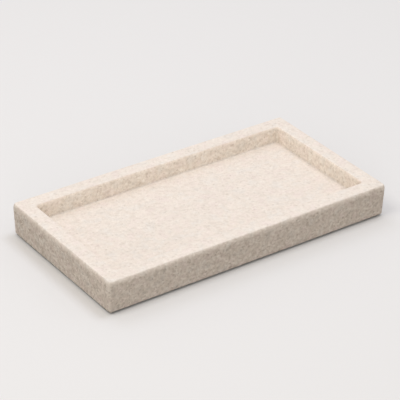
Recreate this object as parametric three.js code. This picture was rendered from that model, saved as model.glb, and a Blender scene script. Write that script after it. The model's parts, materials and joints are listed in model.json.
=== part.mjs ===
// Rectangular vanity tray, cast in one piece from resin-bonded sand, with a recess that holds small things.
// It stands on four rubber pads, each held to the ground-flat underside by a double-sided adhesive disc.
// Millimetres, +Z up. The origin is the middle of the footprint, on the surface that the pads stand on.
// +X runs along the tray's length and -Y faces the front.

import * as THREE from 'three';
import { LoftGeometry } from 'three/addons/geometries/LoftGeometry.js';
import { mergeGeometries } from 'three/addons/utils/BufferGeometryUtils.js';

// Driving dimensions of the casting
const LENGTH = 300; // outside, at the rim, before its edges are rounded
const WIDTH = 160; // the same, across
const BODY_HEIGHT = 31.2; // underside to rim
const RIM_WIDTH = 15.8; // outer wall to recess wall, at the rim
const RECESS_DEPTH = 16.1; // rim to recess floor
const DRAFT_ANGLE = THREE.MathUtils.degToRad(2.6); // lean of every wall, so that the mould comes off

// Rounding of the casting
const OUTER_CORNER_RADIUS = 3.5; // seen from above
const INNER_CORNER_RADIUS = 3; // seen from above
const SHARPEST_CORNER_RADIUS = 0.5; // where an inset outline would lose its corner
const UNDERSIDE_EDGE_RADIUS = 1.5;
const RIM_OUTER_EDGE_ACROSS = 1.7; // how far its rounding reaches in over the rim
const RIM_OUTER_EDGE_DOWN = 4.6; // and down the side
const RIM_INNER_EDGE_ACROSS = 1.2; // how far its rounding reaches out over the rim
const RIM_INNER_EDGE_DOWN = 3.2; // and down the recess wall
const FLOOR_FILLET_RADIUS = 1;
const CORNER_FACETS = 8; // facets round each corner, seen from above
const EDGE_FACETS = 6; // facets over each rounded edge

// Driving dimensions of the feet
const PAD_DIAMETER = 12;
const PAD_THICKNESS = 1.2;
const PAD_EDGE_RADIUS = 0.5; // round the edge that meets the table
const PAD_EDGE_FACETS = 4;
const PAD_INSET = 20; // rim's outer edge to the middle of a pad, both ways
const ADHESIVE_DIAMETER = 11;
const ADHESIVE_THICKNESS = 0.3;
const FOOT_FACETS = 32; // facets round each pad and disc

// A path cuts each of its arcs into this many facets for every division it is asked for
const FACETS_PER_DIVISION = 2;

// Heights that follow from those
const UNDERSIDE = PAD_THICKNESS + ADHESIVE_THICKNESS;
const RIM = UNDERSIDE + BODY_HEIGHT;
const FLOOR = RIM - RECESS_DEPTH;

const stone = new THREE.MeshStandardMaterial({ color: 0xf0e4d8, roughness: 0.7, metalness: 0 });
const rubber = new THREE.MeshStandardMaterial({ color: 0x2a2927, roughness: 0.85, metalness: 0 });
const adhesive = new THREE.MeshStandardMaterial({ color: 0xdcd8cc, roughness: 0.5, metalness: 0 });

// Adds to a path the corner at point, rounded by an arc of an ellipse, on the way from before to after.
// The ellipse has the half sizes across and down. The arc is worked out as a circle's, with heights measured
// in a unit that makes the ellipse round.
function addRoundedCorner(path, before, point, after, across, down) {
  const unit = new THREE.Vector2(1, down / across);
  const [from, corner, to] = [before, point, after].map((at) => at.clone().divide(unit));
  const towardsBefore = from.sub(corner).normalize();
  const towardsAfter = to.sub(corner).normalize();
  const halfAngle = Math.acos(towardsBefore.dot(towardsAfter)) / 2;
  const bisector = towardsBefore.clone().add(towardsAfter).normalize();
  const centre = corner.clone().addScaledVector(bisector, across / Math.sin(halfAngle));
  const tangentLength = across / Math.tan(halfAngle);
  const arcStart = corner.clone().addScaledVector(towardsBefore, tangentLength).sub(centre).angle();
  const arcEnd = corner.clone().addScaledVector(towardsAfter, tangentLength).sub(centre).angle();
  const clockwise = towardsBefore.cross(towardsAfter) > 0;
  const { x, y } = centre.multiply(unit);
  path.absellipse(x, y, across, down, arcStart, arcEnd, clockwise, 0);
}

// The casting's section, from the underside over the rim to the recess floor.
// Each point is an inset from the rim's outer edge (x) and a height (y).
function sectionPoints() {
  const outerLean = BODY_HEIGHT * Math.tan(DRAFT_ANGLE);
  const innerLean = RECESS_DEPTH * Math.tan(DRAFT_ANGLE);
  const underside = new THREE.Vector2(outerLean, UNDERSIDE);
  const outerRim = new THREE.Vector2(0, RIM);
  const innerRim = new THREE.Vector2(RIM_WIDTH, RIM);
  const floor = new THREE.Vector2(RIM_WIDTH + innerLean, FLOOR);
  const corners = [
    { at: underside, across: UNDERSIDE_EDGE_RADIUS, down: UNDERSIDE_EDGE_RADIUS },
    { at: outerRim, across: RIM_OUTER_EDGE_ACROSS, down: RIM_OUTER_EDGE_DOWN },
    { at: innerRim, across: RIM_INNER_EDGE_ACROSS, down: RIM_INNER_EDGE_DOWN },
    { at: floor, across: FLOOR_FILLET_RADIUS, down: FLOOR_FILLET_RADIUS },
  ];
  const middleInset = WIDTH / 2;
  const ends = [new THREE.Vector2(middleInset, UNDERSIDE), new THREE.Vector2(middleInset, FLOOR)];
  const route = [ends[0], ...corners.map((corner) => corner.at), ends[1]];
  const path = new THREE.Path();
  corners.forEach(({ at, across, down }, index) => {
    addRoundedCorner(path, route[index], at, route[index + 2], across, down);
  });
  return path.getPoints(EDGE_FACETS / FACETS_PER_DIVISION);
}

// The casting's outline at one point of its section, as a rectangle with round corners.
function outlineAt(inset, height) {
  const outerRadius = OUTER_CORNER_RADIUS - inset;
  const innerRadius = INNER_CORNER_RADIUS + RIM_WIDTH - inset;
  const cornerRadius = inset < RIM_WIDTH / 2 ? outerRadius : innerRadius;
  const radius = Math.max(SHARPEST_CORNER_RADIUS, cornerRadius);
  const x = LENGTH / 2 - inset - radius;
  const y = WIDTH / 2 - inset - radius;
  const outline = new THREE.Path();
  [[x, y], [-x, y], [-x, -y], [x, -y]].forEach(([centreX, centreY], quarter) => {
    const start = (quarter * Math.PI) / 2;
    outline.absarc(centreX, centreY, radius, start, start + Math.PI / 2, false);
  });
  const points = outline.getPoints(CORNER_FACETS / FACETS_PER_DIVISION);
  return points.map((point) => new THREE.Vector3(point.x, point.y, height));
}

// A flat face that closes an outline, facing up.
function flatCap(outline) {
  return new THREE.ShapeGeometry(new THREE.Shape(outline)).translate(0, 0, outline[0].z);
}

// A geometry turned inside out.
function turnedOver(geometry) {
  geometry.index.array.reverse();
  return geometry;
}

function makeTrayBody() {
  const outlines = sectionPoints().map((point) => outlineAt(point.x, point.y));
  const skin = new LoftGeometry(outlines);
  const underside = turnedOver(flatCap(outlines[0]));
  const floor = flatCap(outlines.at(-1));
  const mesh = new THREE.Mesh(mergeGeometries([skin, underside, floor]), stone);
  mesh.name = 'tray_body';
  return mesh;
}

function makeFootPad(name) {
  const radius = PAD_DIAMETER / 2;
  const flatRadius = radius - PAD_EDGE_RADIUS;
  const profile = new THREE.Path();
  profile.moveTo(0, 0);
  profile.lineTo(flatRadius, 0);
  profile.absarc(flatRadius, PAD_EDGE_RADIUS, PAD_EDGE_RADIUS, -Math.PI / 2, 0, false);
  profile.lineTo(radius, PAD_THICKNESS);
  profile.lineTo(0, PAD_THICKNESS);
  const points = profile.getPoints(PAD_EDGE_FACETS / FACETS_PER_DIVISION);
  const geometry = new THREE.LatheGeometry(points, FOOT_FACETS).rotateX(Math.PI / 2);
  const mesh = new THREE.Mesh(geometry, rubber);
  mesh.name = `foot_pad_${name}`;
  return mesh;
}

function makeAdhesiveDisc(name) {
  const radius = ADHESIVE_DIAMETER / 2;
  const geometry = new THREE.CylinderGeometry(radius, radius, ADHESIVE_THICKNESS, FOOT_FACETS);
  geometry.rotateX(Math.PI / 2);
  const mesh = new THREE.Mesh(geometry, adhesive);
  mesh.name = `adhesive_disc_${name}`;
  mesh.position.z = PAD_THICKNESS + ADHESIVE_THICKNESS / 2;
  return mesh;
}

function makeFoot(name, sideX, sideY) {
  const foot = new THREE.Group();
  foot.add(makeFootPad(name), makeAdhesiveDisc(name));
  foot.position.set(sideX * (LENGTH / 2 - PAD_INSET), sideY * (WIDTH / 2 - PAD_INSET), 0);
  return foot;
}

const tray = new THREE.Group();
tray.add(makeTrayBody());
for (const [endName, sideY] of [['front', -1], ['rear', 1]]) {
  for (const [sideName, sideX] of [['left', -1], ['right', 1]]) {
    tray.add(makeFoot(`${endName}_${sideName}`, sideX, sideY));
  }
}

export default tray;
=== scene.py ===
import json
import math
from collections import namedtuple

import bpy
from mathutils import Matrix, Vector, noise


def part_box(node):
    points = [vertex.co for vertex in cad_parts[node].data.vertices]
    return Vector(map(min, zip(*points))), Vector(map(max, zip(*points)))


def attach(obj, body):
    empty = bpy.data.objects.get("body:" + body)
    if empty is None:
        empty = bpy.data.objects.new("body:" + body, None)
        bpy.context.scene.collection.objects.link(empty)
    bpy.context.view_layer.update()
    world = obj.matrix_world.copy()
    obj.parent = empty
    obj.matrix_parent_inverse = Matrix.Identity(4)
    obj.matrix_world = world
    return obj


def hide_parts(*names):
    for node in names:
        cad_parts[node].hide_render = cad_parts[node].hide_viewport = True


# A cast-stone storage tray on four stick-on rubber pads.
# Lengths are in metres, in the frame of the solid model: +X along the tray, -Y to its front, +Z up.

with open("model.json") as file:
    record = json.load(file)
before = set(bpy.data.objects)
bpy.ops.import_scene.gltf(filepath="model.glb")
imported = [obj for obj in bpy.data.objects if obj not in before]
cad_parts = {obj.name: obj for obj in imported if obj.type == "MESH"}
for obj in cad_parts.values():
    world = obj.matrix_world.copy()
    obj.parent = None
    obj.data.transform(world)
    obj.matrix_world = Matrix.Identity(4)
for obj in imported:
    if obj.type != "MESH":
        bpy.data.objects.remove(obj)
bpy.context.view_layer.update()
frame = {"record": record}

MM = 0.001

# Section of the casting
RIM_WIDTH = 15.8 * MM
DRAFT_ANGLE = math.radians(2.6)  # lean of every wall
OUTER_CORNER_RADIUS = 3.5 * MM  # seen from above
INNER_CORNER_RADIUS = 3 * MM  # seen from above
SHARPEST_CORNER_RADIUS = 0.5 * MM  # where an inset outline would lose its corner
UNDERSIDE_EDGE_RADIUS = 1.5 * MM
RIM_OUTER_EDGE_ACROSS = 1.7 * MM  # how far its rounding reaches in over the rim
RIM_OUTER_EDGE_DOWN = 4.6 * MM  # and down the side
RIM_INNER_EDGE_ACROSS = 1.2 * MM  # how far its rounding reaches out over the rim
RIM_INNER_EDGE_DOWN = 3.2 * MM  # and down the recess wall
FLOOR_FILLET_RADIUS = 1 * MM
RIM_SETBACK = 0.23 * MM  # how far the rounding leaves the tray's side inside its sharp outline

# Fineness of the casting's mesh
EDGE_STEPS = 10  # over each rounded edge
CORNER_STEPS = 10  # round each corner, seen from above
LONG_SIDE_STEPS = 160
SHORT_SIDE_STEPS = 76
STRAIGHT_STEP = 1.9 * MM  # up the walls and across the rim
FIELD_MARGIN = 1.2 * MM  # last outline of a flat face to the even grid inside it
HEIGHT_TOLERANCE = 0.001 * MM  # points this near the underside belong to it

# Unevenness of the casting, as the height and the length of its waves
SWELL_HEIGHT = 0.08 * MM
SWELL_LENGTH = 55 * MM
RIPPLE_HEIGHT = 0.02 * MM
RIPPLE_LENGTH = 9 * MM
WORN_EDGE_DEPTH = 0.12 * MM
WORN_EDGE_LENGTH = 13 * MM
CORNER_SHADE_REACH = 1.3 * MM  # how far up the wall and over the floor the painted shade in the inner corners reaches

# Feet
PAD_EDGE_RADIUS = 0.5 * MM  # round the edge that meets the table
CUT_HOLLOW = 0.06 * MM  # how far the pad's cut side draws in at half height
SQUEEZE = 0.10 * MM  # how far the film bulges between pad and stone
ROUND_STEPS = 64  # mesh steps round each pad and disc
PAD_EDGE_STEPS = 6  # over the pad's rounded edge
CUT_STEPS = 6  # up the pad's cut side
SQUEEZE_STEPS = 6  # up the film's edge

# Heights and half sizes of the casting, from the solid model
TRAY_LOW, TRAY_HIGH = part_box("tray_body")
UNDERSIDE = TRAY_LOW.z
RIM = TRAY_HIGH.z
FLOOR = next(m["pos_m"][2] for m in frame["record"]["mounts"] if m["name"] == "recess_floor")
HALF_LENGTH = TRAY_HIGH.x + RIM_SETBACK
HALF_WIDTH = TRAY_HIGH.y + RIM_SETBACK

FOOT_NAMES = ("front_left", "front_right", "rear_left", "rear_right")

# Camera, worked out from the tray's edges in the photograph
IMAGE_SIDE = 400  # pixels
FOCAL_LENGTH = 1929.1  # pixels
SENSOR_WIDTH = 36  # millimetres, as a camera states it
VIEW_AZIMUTH = math.radians(-35.669)
VIEW_ELEVATION = math.radians(30.327)
VIEW_ROLL = math.radians(1.061)
VIEW_DISTANCE = 1.7507
VIEW_OFFSET_RIGHT = -0.61 * MM  # from the underside's middle to the picture's middle
VIEW_OFFSET_UP = 21.18 * MM

SectionPoint = namedtuple("SectionPoint", "inset height wear crevice recess")


def arc_points(before, corner, after, across, down):
    """Points of the arc that rounds a corner of the section, from one tangent point to the other.

    The arc belongs to an ellipse with the half sizes across and down. It is worked out as a circle's
    arc, with heights measured in a unit that makes the ellipse round.
    """
    stretch = Vector((1, down / across))
    before, corner, after = [Vector((at.x / stretch.x, at.y / stretch.y)) for at in (before, corner, after)]
    to_before = (before - corner).normalized()
    to_after = (after - corner).normalized()
    half_angle = to_before.angle(to_after) / 2
    centre = corner + (to_before + to_after).normalized() * (across / math.sin(half_angle))
    tangent_length = across / math.tan(half_angle)
    first = corner + to_before * tangent_length - centre
    last = corner + to_after * tangent_length - centre
    arc = [centre + across * first.slerp(last, step / EDGE_STEPS) for step in range(EDGE_STEPS + 1)]
    return [at * stretch for at in arc]


def section_point(at, wear, fillet_corner):
    # Painted shade, darkest in the fillet between recess wall and floor
    crevice = math.exp(-(((at - fillet_corner).length / CORNER_SHADE_REACH) ** 2))
    recess = 1.0 if at.x > RIM_WIDTH else 0.0
    return SectionPoint(at.x, at.y, wear, crevice, recess)


def section_points():
    """The casting's section, from the underside over the rim to the recess floor.

    Each point has an inset from the rim's outer edge, a height, how worn the surface is, how much painted
    shade of the inner corner lies on it, and whether it lies in the recess.
    """
    outer_lean = (RIM - UNDERSIDE) * math.tan(DRAFT_ANGLE)
    inner_lean = (RIM - FLOOR) * math.tan(DRAFT_ANGLE)
    corners = [
        (Vector((outer_lean, UNDERSIDE)), UNDERSIDE_EDGE_RADIUS, UNDERSIDE_EDGE_RADIUS),
        (Vector((0, RIM)), RIM_OUTER_EDGE_ACROSS, RIM_OUTER_EDGE_DOWN),
        (Vector((RIM_WIDTH, RIM)), RIM_INNER_EDGE_ACROSS, RIM_INNER_EDGE_DOWN),
        (Vector((RIM_WIDTH + inner_lean, FLOOR)), FLOOR_FILLET_RADIUS, FLOOR_FILLET_RADIUS),
    ]
    fillet_corner = corners[-1][0]
    ends = [Vector((HALF_WIDTH, UNDERSIDE)), Vector((HALF_WIDTH, FLOOR))]
    route = [ends[0], *[corner[0] for corner in corners], ends[1]]
    points = []
    for index, (at, across, down) in enumerate(corners):
        arc = arc_points(route[index], at, route[index + 2], across, down)
        if points:
            start = Vector((points[-1].inset, points[-1].height))
            steps = max(1, round((arc[0] - start).length / STRAIGHT_STEP))
            for step in range(1, steps):
                points.append(section_point(start.lerp(arc[0], step / steps), 0, fillet_corner))
        for step, at_step in enumerate(arc):
            stands_out = at is not fillet_corner
            wear = math.sin(math.pi * step / EDGE_STEPS) if stands_out else 0
            points.append(section_point(at_step, wear, fillet_corner))
    return points


def outline_points(inset):
    """Points round the casting at one inset, anticlockwise from above: round corners and straight sides.

    With each point goes how far into a corner it lies: 1 in the middle of a corner, 0 along a side.
    """
    outer_radius = OUTER_CORNER_RADIUS - inset
    inner_radius = INNER_CORNER_RADIUS + RIM_WIDTH - inset
    radius = max(SHARPEST_CORNER_RADIUS, outer_radius if inset < RIM_WIDTH / 2 else inner_radius)
    x = HALF_LENGTH - inset - radius
    y = HALF_WIDTH - inset - radius
    centres = [Vector((x, y)), Vector((-x, y)), Vector((-x, -y)), Vector((x, -y))]
    points = []
    for quarter, centre in enumerate(centres):
        for step in range(CORNER_STEPS + 1):
            angle = (quarter + step / CORNER_STEPS) * math.pi / 2
            into_corner = math.sin(math.pi * step / CORNER_STEPS)
            points.append((centre + radius * Vector((math.cos(angle), math.sin(angle))), into_corner))
        side = centres[(quarter + 1) % 4] - centre
        steps = side_steps(quarter)
        corner_end = points[-1][0]
        points.extend((corner_end + side * step / steps, 0.0) for step in range(1, steps))
    return points


def side_steps(quarter):
    """Mesh steps along the straight side that follows a corner."""
    return LONG_SIDE_STEPS if quarter % 2 == 0 else SHORT_SIDE_STEPS


def field_border():
    """For each point of an outline, the column and row of the grid point that it joins."""
    corners = [(LONG_SIDE_STEPS, SHORT_SIDE_STEPS), (0, SHORT_SIDE_STEPS), (0, 0), (LONG_SIDE_STEPS, 0)]
    directions = [(-1, 0), (0, -1), (1, 0), (0, 1)]
    border = []
    for quarter, (column, row) in enumerate(corners):
        border.extend([(column, row)] * (CORNER_STEPS + 1))
        across, along = directions[quarter]
        border.extend((column + across * step, row + along * step) for step in range(1, side_steps(quarter)))
    return border


class CastingMesh:
    """Gathers the casting's vertices and faces, with what each vertex's surface is like."""

    def __init__(self):
        self.vertices = []
        self.faces = []
        self.wear = []
        self.crevice = []
        self.ground = []
        self.recess = []

    def add_vertex(self, x, y, z, wear=0.0, crevice=0.0, ground=0.0, recess=0.0):
        self.vertices.append((x, y, z))
        self.wear.append(wear)
        self.crevice.append(crevice)
        self.ground.append(ground)
        self.recess.append(recess)
        return len(self.vertices) - 1

    def add_outline(self, point):
        at_underside = 1.0 if point.height - UNDERSIDE < HEIGHT_TOLERANCE else 0.0
        loop = []
        for at, into_corner in outline_points(point.inset):
            # Painted shade also darkens the upright corners of the recess
            crevice = max(point.crevice, into_corner * point.recess * (1 - point.wear))
            loop.append(
                self.add_vertex(at.x, at.y, point.height, point.wear, crevice, at_underside, point.recess)
            )
        return loop

    def add_field(self, inset, height, ground):
        """An even grid of vertices over a flat face."""
        x = HALF_LENGTH - inset
        y = HALF_WIDTH - inset
        return {
            (column, row): self.add_vertex(
                x * (2 * column / LONG_SIDE_STEPS - 1),
                y * (2 * row / SHORT_SIDE_STEPS - 1),
                height,
                ground=ground,
            )
            for row in range(SHORT_SIDE_STEPS + 1)
            for column in range(LONG_SIDE_STEPS + 1)
        }

    def join_loops(self, lower, upper):
        """Faces between two loops of vertices, with triangles where either loop stands still."""
        count = len(lower)
        for index in range(count):
            following = (index + 1) % count
            face = [lower[index], lower[following], upper[following], upper[index]]
            self.faces.append(list(dict.fromkeys(face)))

    def fill_field(self, field, facing_up):
        for row in range(SHORT_SIDE_STEPS):
            for column in range(LONG_SIDE_STEPS):
                steps = [(column, row), (column + 1, row), (column + 1, row + 1), (column, row + 1)]
                face = [field[step] for step in steps]
                self.faces.append(face if facing_up else face[::-1])

    def to_mesh(self, name):
        mesh = bpy.data.meshes.new(name)
        mesh.from_pydata(self.vertices, [], self.faces)
        for attribute_name in ("wear", "crevice", "ground", "recess"):
            attribute = mesh.attributes.new(attribute_name, "FLOAT", "POINT")
            attribute.data.foreach_set("value", getattr(self, attribute_name))
        mesh.shade_smooth()
        return mesh


def roughen(mesh):
    """Gives the casting the slight swell, ripple and worn edges of a moulded piece.

    The ground underside stays flat.
    """
    wear = mesh.attributes["wear"].data
    ground = mesh.attributes["ground"].data
    normals = [normal.vector.copy() for normal in mesh.vertex_normals]
    for vertex, normal in zip(mesh.vertices, normals):
        swell = SWELL_HEIGHT * noise.noise(vertex.co / SWELL_LENGTH)
        ripple = RIPPLE_HEIGHT * noise.noise(vertex.co / RIPPLE_LENGTH)
        bite = 0.5 + 0.5 * noise.noise(vertex.co / WORN_EDGE_LENGTH)
        worn = WORN_EDGE_DEPTH * wear[vertex.index].value * bite
        vertex.co += normal * (swell + ripple - worn) * (1 - ground[vertex.index].value)


def link_object(name, data):
    made = bpy.data.objects.new(name, data)
    bpy.context.scene.collection.objects.link(made)
    return made


def make_casting():
    casting = CastingMesh()
    section = section_points()
    outlines = [casting.add_outline(point) for point in section]
    for lower, upper in zip(outlines, outlines[1:]):
        casting.join_loops(lower, upper)
    border = field_border()
    underside = casting.add_field(section[0].inset + FIELD_MARGIN, UNDERSIDE, 1.0)
    floor = casting.add_field(section[-1].inset + FIELD_MARGIN, FLOOR, 0.0)
    casting.join_loops([underside[step] for step in border], outlines[0])
    casting.join_loops(outlines[-1], [floor[step] for step in border])
    casting.fill_field(underside, facing_up=False)
    casting.fill_field(floor, facing_up=True)
    mesh = casting.to_mesh("stone_tray")
    roughen(mesh)
    return link_object("stone_tray", mesh)


# Most of a noise's values lie between these
NOISE_LOW = 0.3
NOISE_HIGH = 0.7

# How much of a unit normal points up or down, on faces that count as upright and as level
UPRIGHT_RISE = 0.3
LEVEL_RISE = 0.8


def new_material(name):
    """A new material, with its node tree and its shader node."""
    material = bpy.data.materials.new(name)
    material.use_nodes = True
    tree = material.node_tree
    return material, tree, tree.nodes["Principled BSDF"]


def add_node(tree, kind, settings=None, inputs=None):
    """Adds a node. Settings are its own properties; inputs are values or the outputs that feed it."""
    made = tree.nodes.new(kind)
    for name, value in (settings or {}).items():
        setattr(made, name, value)
    for name, value in (inputs or {}).items():
        feed(tree, made.inputs[name], value)
    return made


def feed(tree, socket, value):
    if isinstance(value, bpy.types.NodeSocket):
        tree.links.new(value, socket)
    else:
        socket.default_value = value


def object_place(tree):
    return add_node(tree, "ShaderNodeTexCoord").outputs["Object"]


def noise_at(tree, place, size, detail=2.0, roughness=0.5):
    """Smooth noise whose features are about size across."""
    inputs = {"Vector": place, "Scale": 1 / size, "Detail": detail, "Roughness": roughness}
    return add_node(tree, "ShaderNodeTexNoise", inputs=inputs).outputs["Fac"]


def cells_at(tree, place, size):
    """Cells about size across, as the node: its Color differs from cell to cell."""
    return add_node(tree, "ShaderNodeTexVoronoi", inputs={"Vector": place, "Scale": 1 / size})


def map_range(tree, value, low, high, to_low, to_high):
    inputs = {"Value": value, "From Min": low, "From Max": high, "To Min": to_low, "To Max": to_high}
    return add_node(tree, "ShaderNodeMapRange", inputs=inputs).outputs["Result"]


def spread_noise(tree, fine_noise, low, high):
    """Noise spread between two values."""
    return map_range(tree, fine_noise, NOISE_LOW, NOISE_HIGH, low, high)


def calculate(tree, operation, first, second):
    made = add_node(tree, "ShaderNodeMath", {"operation": operation})
    feed(tree, made.inputs[0], first)
    feed(tree, made.inputs[1], second)
    return made.outputs[0]


def mix_colours(tree, factor, first, second, blend_type="MIX"):
    """Mixes two colours, through the sockets that the node keeps for colours."""
    made = add_node(tree, "ShaderNodeMix", {"data_type": "RGBA", "blend_type": blend_type})
    feed(tree, made.inputs[0], factor)
    feed(tree, made.inputs[6], first)
    feed(tree, made.inputs[7], second)
    return made.outputs[2]


def ramp(tree, factor, stops):
    """Colours along a factor. Each stop is a position and a colour."""
    made = add_node(tree, "ShaderNodeValToRGB", inputs={"Fac": factor})
    elements = made.color_ramp.elements
    while len(elements) < len(stops):
        elements.new(1.0)
    for element, (position, colour) in zip(elements, stops):
        element.position = position
        element.color = (*colour, 1.0)
    return made.outputs["Color"]


def grey(tree, level):
    channels = {"Red": level, "Green": level, "Blue": level}
    return add_node(tree, "ShaderNodeCombineColor", inputs=channels).outputs["Color"]


def red_of(tree, colour):
    return add_node(tree, "ShaderNodeSeparateColor", inputs={"Color": colour}).outputs["Red"]


def attribute(tree, name):
    return add_node(tree, "ShaderNodeAttribute", {"attribute_name": name}).outputs["Fac"]


def upright_share(tree):
    """1 on the walls, 0 on faces that lie level."""
    normal = add_node(tree, "ShaderNodeTexCoord").outputs["Normal"]
    upward = add_node(tree, "ShaderNodeSeparateXYZ", inputs={"Vector": normal}).outputs["Z"]
    rise = add_node(tree, "ShaderNodeMath", {"operation": "ABSOLUTE"}, {0: upward}).outputs[0]
    return map_range(tree, rise, UPRIGHT_RISE, LEVEL_RISE, 1.0, 0.0)


def bump(tree, height, distance, strength=1.0, below=None):
    inputs = {"Height": height, "Distance": distance, "Strength": strength}
    if below is not None:
        inputs["Normal"] = below
    return add_node(tree, "ShaderNodeBump", inputs=inputs).outputs["Normal"]


# Stone: sand bonded with pale resin
SAND_SIZE = 1.8 * MM
DUST_SIZE = 0.5 * MM
CLUMP_SIZE = 3.6 * MM
SAND_SHARE = 0.55  # of a place's shade
DUST_SHARE = 0.10
CLUMP_SHARE = 0.35
GRAIN_SHADES = [(0.0, 0.0), (0.2, 0.38), (0.8, 0.62), (1.0, 1.0)]  # most are alike, a few stand out
MIDDLE_SHADE = 0.5
SAND_COLOURS = [
    (0.00, (0.62, 0.55, 0.485)),
    (MIDDLE_SHADE, (0.845, 0.77, 0.705)),
    (1.00, (0.99, 0.925, 0.865)),
]
# Grain contrast by facing: upright faces get more, partly as painted shade of grains lit at a graze
LEVEL_CONTRAST = 0.52  # between grains, on faces that lie level
SIDE_CONTRAST = 1.3  # the same on the tray's sides
WALL_CONTRAST = 1.1  # and on the walls of the recess
GRAIN_HIGHLIGHT_BOOST = 0.65  # painted highlight: how much more the light grains stand out on the sides than the dark ones
# Painted warmth of shade: a warm tint on the tray's upright sides and, less, on the recess walls
SIDE_SHADE_TINT = (1.028, 0.997, 0.962, 1.0)
WALL_SHADE_TINT = (1.005, 1.0, 0.98, 1.0)
HUE_SIZE = 10 * MM
PINKER = (1.0, 0.978, 0.982)
YELLOWER = (1.0, 0.998, 0.979)
GREYER = (0.976, 0.996, 1.0)
FINE_DETAIL = 3.0  # octaves of the finer noises
MOTTLE_SIZE = 16 * MM
MOTTLE_STRENGTH = 0.015  # how much lighter or darker its patches are
TONE_SIZE = 70 * MM
TONE_STRENGTH = 0.01
SPECK_SPACING = 6 * MM
SPECK_CORE = 0.08  # radius that is fully dark, as a share of the spacing
SPECK_RADIUS = 0.22  # radius where the speck ends, as a share of the spacing
SPECK_PICK_LOW = 0.60  # a spot with a lower pick has no speck
SPECK_PICK_HIGH = 0.62  # and one with a higher pick has a whole one
SPECK_STRENGTH = 0.22
SPECK_COLOUR = (0.30, 0.23, 0.17, 1.0)
EDGE_SMOOTHNESS = 0.35  # share of the grain and relief that is rubbed off the worn edges
WORN_HIGHLIGHT_SHARE = 0.15  # of the worn colour, partly a painted highlight, on the edges
WORN_HIGHLIGHT_COLOUR = (0.90, 0.83, 0.76, 1.0)
CORNER_SHADE_SHARE = 0.32  # of the corner shade colour, painted in the inner corners of the recess
CORNER_SHADE_COLOUR = (0.52, 0.48, 0.43, 1.0)
GRIND_LENGTH = 26 * MM
GRIND_WIDTH = 0.7 * MM
GRIND_LEAST = 0.2  # of the ground colour, between the strokes
GRIND_MOST = 0.6  # and on them
GROUND_COLOUR = (0.78, 0.71, 0.63, 1.0)
SHEEN_SIZE = 4 * MM  # of the patches that are smoother or rougher
SMOOTHEST = 0.66
ROUGHEST = 0.84
STONE_SPECULAR = 0.4
LUMP_SIZE = 2.6 * MM
LUMP_HEIGHT = 0.8 * MM
LUMP_ROUGHNESS = 0.55  # of the noise
DOME_SIZE = 1.5 * MM
DOME_HEIGHT = 0.2 * MM


def stone_shade(tree, place):
    """Each grain of sand has its own shade, finer dust lies between, and both gather in clumps."""
    pick = red_of(tree, cells_at(tree, place, SAND_SIZE).outputs["Color"])
    sand = red_of(tree, ramp(tree, pick, [(at, (shade, shade, shade)) for at, shade in GRAIN_SHADES]))
    dust = red_of(tree, cells_at(tree, place, DUST_SIZE).outputs["Color"])
    clump = spread_noise(tree, noise_at(tree, place, CLUMP_SIZE), 0.0, 1.0)
    total = 0.0
    for layer, share in [(sand, SAND_SHARE), (dust, DUST_SHARE), (clump, CLUMP_SHARE)]:
        total = calculate(tree, "ADD", total, calculate(tree, "MULTIPLY", layer, share))
    return total


def stone_sand(tree, place, sharpness):
    """The colour of the sand. Its grain contrast is set by facing: low on level faces and high on upright
    ones, partly as painted shade of the grains where light grazes them.

    On the tray's sides the light grains stand out more than the dark ones, a painted highlight. Upright
    faces get a warm tint, painted warmth of their shade.
    """
    upright = upright_share(tree)
    recess = attribute(tree, "recess")
    # Grain contrast by facing, partly painted shade of the grains on upright faces
    upright_contrast = map_range(tree, recess, 0.0, 1.0, SIDE_CONTRAST, WALL_CONTRAST)
    contrast = map_range(tree, upright, 0.0, 1.0, LEVEL_CONTRAST, upright_contrast)
    contrast = calculate(tree, "MULTIPLY", contrast, sharpness)
    from_middle = calculate(tree, "SUBTRACT", stone_shade(tree, place), MIDDLE_SHADE)
    swing = calculate(tree, "MULTIPLY", from_middle, contrast)
    # Painted highlight on the light grains of the tray's sides
    side = calculate(tree, "MULTIPLY", upright, calculate(tree, "SUBTRACT", 1.0, recess))
    grain_highlight = calculate(tree, "MULTIPLY", calculate(tree, "MAXIMUM", swing, 0.0), side)
    swing = calculate(tree, "ADD", swing, calculate(tree, "MULTIPLY", grain_highlight, GRAIN_HIGHLIGHT_BOOST))
    colour = ramp(tree, calculate(tree, "ADD", swing, MIDDLE_SHADE), SAND_COLOURS)
    # Painted warmth of shade on upright faces
    upright_shade_tint = mix_colours(tree, recess, SIDE_SHADE_TINT, WALL_SHADE_TINT)
    return mix_colours(tree, upright, colour, upright_shade_tint, "MULTIPLY")


def stone_drift(tree, place, colour):
    """Makes the stone a little pinker, yellower or greyer, and lighter or darker, from place to place."""
    drift = spread_noise(tree, noise_at(tree, place, HUE_SIZE), 0.0, 1.0)
    tint = ramp(tree, drift, [(0.0, PINKER), (0.5, YELLOWER), (1.0, GREYER)])
    colour = mix_colours(tree, 1.0, colour, tint, "MULTIPLY")
    patches = noise_at(tree, place, MOTTLE_SIZE, FINE_DETAIL)
    mottle = spread_noise(tree, patches, 1 - MOTTLE_STRENGTH, 1 + MOTTLE_STRENGTH)
    tone = spread_noise(tree, noise_at(tree, place, TONE_SIZE), 1 - TONE_STRENGTH, 1 + TONE_STRENGTH)
    level = calculate(tree, "MULTIPLY", mottle, tone)
    return mix_colours(tree, 1.0, colour, grey(tree, level), "MULTIPLY")


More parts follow.
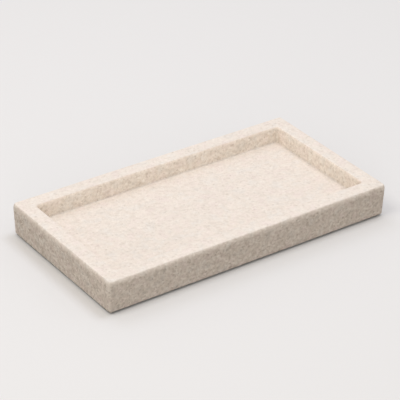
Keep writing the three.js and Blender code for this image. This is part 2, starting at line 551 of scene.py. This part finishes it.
def stone_specks(tree, place, colour):
    """Adds the few grains that are dark."""
    spots = cells_at(tree, place, SPECK_SPACING)
    is_near = map_range(tree, spots.outputs["Distance"], SPECK_CORE, SPECK_RADIUS, 1.0, 0.0)
    pick = red_of(tree, spots.outputs["Color"])
    is_dark = map_range(tree, pick, SPECK_PICK_LOW, SPECK_PICK_HIGH, 0.0, 1.0)
    speck = calculate(tree, "MULTIPLY", is_near, is_dark)
    return mix_colours(tree, calculate(tree, "MULTIPLY", speck, SPECK_STRENGTH), colour, SPECK_COLOUR)


def stone_edges_and_corner_shade(tree, colour, wear):
    """Makes the edges paler, for wear and partly as a painted highlight, and paints shade in the inner
    corners of the recess.
    """
    # Paler rounded edges: wear, and partly a painted highlight
    colour = mix_colours(tree, calculate(tree, "MULTIPLY", wear, WORN_HIGHLIGHT_SHARE), colour, WORN_HIGHLIGHT_COLOUR)
    # Painted shade in the inner corners of the recess
    crevice = calculate(tree, "MULTIPLY", attribute(tree, "crevice"), CORNER_SHADE_SHARE)
    return mix_colours(tree, crevice, colour, CORNER_SHADE_COLOUR)


def stone_grinding(tree, place, colour):
    """The underside was ground flat, which leaves fine strokes along the tray."""
    stretch = add_node(tree, "ShaderNodeMapping", inputs={"Vector": place})
    stretch.inputs["Scale"].default_value = (GRIND_WIDTH / GRIND_LENGTH, 1.0, 1.0)
    strokes = noise_at(tree, stretch.outputs["Vector"], GRIND_WIDTH, FINE_DETAIL)
    ground_share = spread_noise(tree, strokes, GRIND_LEAST, GRIND_MOST)
    ground_colour = mix_colours(tree, ground_share, colour, GROUND_COLOUR)
    return mix_colours(tree, attribute(tree, "ground"), colour, ground_colour)


def stone_relief(tree, place, sharpness):
    """The surface has shallow lumps, and the coarser grains stand out of it as low domes."""
    lump_heights = noise_at(tree, place, LUMP_SIZE, FINE_DETAIL, LUMP_ROUGHNESS)
    lumps = bump(tree, lump_heights, LUMP_HEIGHT, sharpness)
    dome_heights = map_range(tree, cells_at(tree, place, DOME_SIZE).outputs["Distance"], 0.0, 1.0, 1.0, 0.0)
    return bump(tree, dome_heights, DOME_HEIGHT, sharpness, lumps)


def stone_material():
    material, tree, shader = new_material("cast_sandstone")
    place = object_place(tree)
    wear = attribute(tree, "wear")
    sharpness = map_range(tree, wear, 0.0, 1.0, 1.0, 1.0 - EDGE_SMOOTHNESS)
    colour = stone_sand(tree, place, sharpness)
    colour = stone_drift(tree, place, colour)
    colour = stone_specks(tree, place, colour)
    colour = stone_edges_and_corner_shade(tree, colour, wear)
    colour = stone_grinding(tree, place, colour)
    sheen = noise_at(tree, place, SHEEN_SIZE, FINE_DETAIL)
    feed(tree, shader.inputs["Base Color"], colour)
    feed(tree, shader.inputs["Roughness"], spread_noise(tree, sheen, SMOOTHEST, ROUGHEST))
    feed(tree, shader.inputs["Specular IOR Level"], STONE_SPECULAR)
    feed(tree, shader.inputs["Normal"], stone_relief(tree, place, sharpness))
    return material


# Rubber of the pads
RUBBER_PEBBLE_SIZE = 0.35 * MM
RUBBER_SMEAR_SIZE = 4 * MM
RUBBER_RELIEF = 0.03 * MM
RUBBER_SMEAR_DETAIL = 4.0  # octaves of the noise
RUBBER_SMEAR_ROUGHNESS = 0.6  # of the noise
RUBBER_COLOURS = [
    (0.35, (0.018, 0.017, 0.016)),
    (0.75, (0.055, 0.052, 0.048)),
]
RUBBER_SMOOTHEST = 0.62
RUBBER_ROUGHEST = 0.88


def rubber_material():
    material, tree, shader = new_material("pad_rubber")
    place = object_place(tree)
    smear = noise_at(tree, place, RUBBER_SMEAR_SIZE, RUBBER_SMEAR_DETAIL, RUBBER_SMEAR_ROUGHNESS)
    feed(tree, shader.inputs["Base Color"], ramp(tree, smear, RUBBER_COLOURS))
    feed(tree, shader.inputs["Roughness"], spread_noise(tree, smear, RUBBER_SMOOTHEST, RUBBER_ROUGHEST))
    pebbles = cells_at(tree, place, RUBBER_PEBBLE_SIZE).outputs["Distance"]
    feed(tree, shader.inputs["Normal"], bump(tree, pebbles, RUBBER_RELIEF))
    return material


# Adhesive film
FILM_RIPPLE_SIZE = 1.2 * MM
FILM_STAIN_SIZE = 3 * MM
FILM_RELIEF = 0.02 * MM
FILM_STAIN_DETAIL = 4.0  # octaves of the noise
FILM_COLOURS = [
    (0.40, (0.74, 0.71, 0.63)),
    (0.70, (0.60, 0.54, 0.44)),
]
FILM_SMOOTHEST = 0.35
FILM_ROUGHEST = 0.55


def adhesive_material():
    material, tree, shader = new_material("adhesive_film")
    place = object_place(tree)
    stain = noise_at(tree, place, FILM_STAIN_SIZE, FILM_STAIN_DETAIL)
    feed(tree, shader.inputs["Base Color"], ramp(tree, stain, FILM_COLOURS))
    feed(tree, shader.inputs["Roughness"], spread_noise(tree, stain, FILM_SMOOTHEST, FILM_ROUGHEST))
    ripple = noise_at(tree, place, FILM_RIPPLE_SIZE)
    feed(tree, shader.inputs["Normal"], bump(tree, ripple, FILM_RELIEF))
    return material


def turned_mesh(name, profile, centre):
    """A closed mesh turned about a vertical axis. The profile is radius and height, from bottom to top."""
    vertices = []
    for radius, height in profile:
        for step in range(ROUND_STEPS):
            angle = 2 * math.pi * step / ROUND_STEPS
            x = centre.x + radius * math.cos(angle)
            y = centre.y + radius * math.sin(angle)
            vertices.append((x, y, height))
    faces = [list(range(ROUND_STEPS))[::-1]]
    for ring in range(len(profile) - 1):
        for step in range(ROUND_STEPS):
            following = (step + 1) % ROUND_STEPS
            low = ring * ROUND_STEPS
            high = low + ROUND_STEPS
            faces.append([low + step, low + following, high + following, high + step])
    top = (len(profile) - 1) * ROUND_STEPS
    faces.append(list(range(top, top + ROUND_STEPS)))
    mesh = bpy.data.meshes.new(name)
    mesh.from_pydata(vertices, [], faces)
    mesh.shade_smooth()
    return mesh


def make_pad(foot):
    """A pad cut from rubber sheet: a rolled lower edge and a side that the cutter left slightly hollow."""
    low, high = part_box(f"foot_pad_{foot}")
    radius = (high.x - low.x) / 2
    flat_radius = radius - PAD_EDGE_RADIUS
    profile = []
    for step in range(PAD_EDGE_STEPS + 1):
        angle = math.pi / 2 * step / PAD_EDGE_STEPS
        height = low.z + PAD_EDGE_RADIUS * (1 - math.cos(angle))
        profile.append((flat_radius + PAD_EDGE_RADIUS * math.sin(angle), height))
    side_bottom = profile[-1][1]
    for step in range(1, CUT_STEPS + 1):
        share = step / CUT_STEPS
        height = side_bottom + (high.z - side_bottom) * share
        profile.append((radius - CUT_HOLLOW * math.sin(math.pi * share), height))
    return link_object(f"pad_{foot}", turned_mesh(f"pad_{foot}", profile, (low + high) / 2))


def make_film(foot):
    """An adhesive disc, squeezed out a little at half height."""
    low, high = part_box(f"adhesive_disc_{foot}")
    radius = (high.x - low.x) / 2
    profile = []
    for step in range(SQUEEZE_STEPS + 1):
        share = step / SQUEEZE_STEPS
        profile.append((radius + SQUEEZE * math.sin(math.pi * share), low.z + (high.z - low.z) * share))
    return link_object(f"film_{foot}", turned_mesh(f"film_{foot}", profile, (low + high) / 2))


def dress(piece, node, material):
    """Puts a finished piece in the place of its solid."""
    piece.data.materials.append(material)
    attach(piece, "root")
    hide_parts(node)


dress(make_casting(), "tray_body", stone_material())
rubber = rubber_material()
film = adhesive_material()
for foot_name in FOOT_NAMES:
    dress(make_pad(foot_name), f"foot_pad_{foot_name}", rubber)
    dress(make_film(foot_name), f"adhesive_disc_{foot_name}", film)


# Floor, background and lamps
FLOOR_HALF_SIZE = 6.0
FLOOR_ROUGHNESS = 0.9
FLOOR_SEEN = (0.80, 0.80, 0.80, 1.0)  # colour to the camera and in reflections
FLOOR_LIT = (0.11, 0.105, 0.10, 1.0)  # colour that it throws back on the tray
BACKGROUND_SEEN = (0.80, 0.80, 0.80, 1.0)
SKY_COLOUR = (1.0, 0.95, 0.9, 1.0)
SKY_STRENGTH = 0.658
Lamp = namedtuple("Lamp", "name size power colour place")  # metres and watts
LAMPS = [
    Lamp("left", 0.8, 8.4, (1.0, 0.955, 0.885), Vector((-1.0, 0.0, 1.73))),
    Lamp("right", 0.6, 7.6, (0.82, 0.875, 1.0), Vector((0.52, 0.0, 1.93))),
    Lamp("back", 0.8, 3.95, (0.82, 0.855, 1.0), Vector((0.0, 1.0, 1.73))),
    Lamp("low_front", 0.5, 2.55, (1.0, 0.978, 0.945), Vector((-0.9, -1.3, 0.26))),
]


def is_seen(tree):
    """1 for rays from the camera, a reflection or glass, 0 for light that bounces off matt surfaces."""
    path = add_node(tree, "ShaderNodeLightPath")
    glossy_or_clear = calculate(
        tree, "MAXIMUM", path.outputs["Is Glossy Ray"], path.outputs["Is Transmission Ray"]
    )
    return calculate(tree, "MAXIMUM", path.outputs["Is Camera Ray"], glossy_or_clear)


def make_floor():
    mesh = bpy.data.meshes.new("floor")
    corners = [(-1, -1), (1, -1), (1, 1), (-1, 1)]
    vertices = [(x * FLOOR_HALF_SIZE, y * FLOOR_HALF_SIZE, 0) for x, y in corners]
    mesh.from_pydata(vertices, [], [[0, 1, 2, 3]])
    floor = link_object("floor", mesh)
    material, tree, shader = new_material("pale_floor")
    feed(tree, shader.inputs["Base Color"], mix_colours(tree, is_seen(tree), FLOOR_LIT, FLOOR_SEEN))
    feed(tree, shader.inputs["Roughness"], FLOOR_ROUGHNESS)
    feed(tree, shader.inputs["Specular IOR Level"], 0.0)
    mesh.materials.append(material)


def make_world():
    world = bpy.data.worlds.new("studio")
    bpy.context.scene.world = world
    world.use_nodes = True
    tree = world.node_tree
    tree.nodes.clear()
    sky = add_node(tree, "ShaderNodeBackground", inputs={"Color": SKY_COLOUR, "Strength": SKY_STRENGTH})
    seen = add_node(tree, "ShaderNodeBackground", inputs={"Color": BACKGROUND_SEEN, "Strength": 1.0})
    both = add_node(tree, "ShaderNodeMixShader", inputs={"Fac": is_seen(tree)})
    tree.links.new(sky.outputs["Background"], both.inputs[1])
    tree.links.new(seen.outputs["Background"], both.inputs[2])
    output = add_node(tree, "ShaderNodeOutputWorld")
    tree.links.new(both.outputs["Shader"], output.inputs["Surface"])


def make_lamp(settings):
    """A soft lamp that faces the tray and isn't seen itself."""
    light = bpy.data.lights.new(settings.name, "AREA")
    light.shape = "SQUARE"
    light.size = settings.size
    light.energy = settings.power
    light.color = settings.colour
    lamp = link_object(settings.name, light)
    lamp.visible_camera = False
    lamp.location = settings.place
    lamp.rotation_mode = "QUATERNION"
    lamp.rotation_quaternion = (-settings.place).to_track_quat("-Z", "Y")


def make_camera():
    back = Vector((
        math.sin(VIEW_AZIMUTH) * math.cos(VIEW_ELEVATION),
        -math.cos(VIEW_AZIMUTH) * math.cos(VIEW_ELEVATION),
        math.sin(VIEW_ELEVATION),
    ))
    level_right = Vector((0, 0, 1)).cross(back).normalized()
    level_up = back.cross(level_right)
    right = math.cos(VIEW_ROLL) * level_right + math.sin(VIEW_ROLL) * level_up
    up = math.cos(VIEW_ROLL) * level_up - math.sin(VIEW_ROLL) * level_right
    place = back * VIEW_DISTANCE + right * VIEW_OFFSET_RIGHT + up * VIEW_OFFSET_UP
    place.z += UNDERSIDE
    data = bpy.data.cameras.new("camera")
    data.sensor_width = SENSOR_WIDTH
    data.lens = FOCAL_LENGTH / IMAGE_SIDE * SENSOR_WIDTH
    camera = link_object("camera", data)
    camera.matrix_world = Matrix.Translation(place) @ Matrix((right, up, back)).transposed().to_4x4()
    bpy.context.scene.camera = camera


make_floor()
make_world()
for settings in LAMPS:
    make_lamp(settings)
make_camera()
bpy.context.scene.view_settings.view_transform = "Standard"
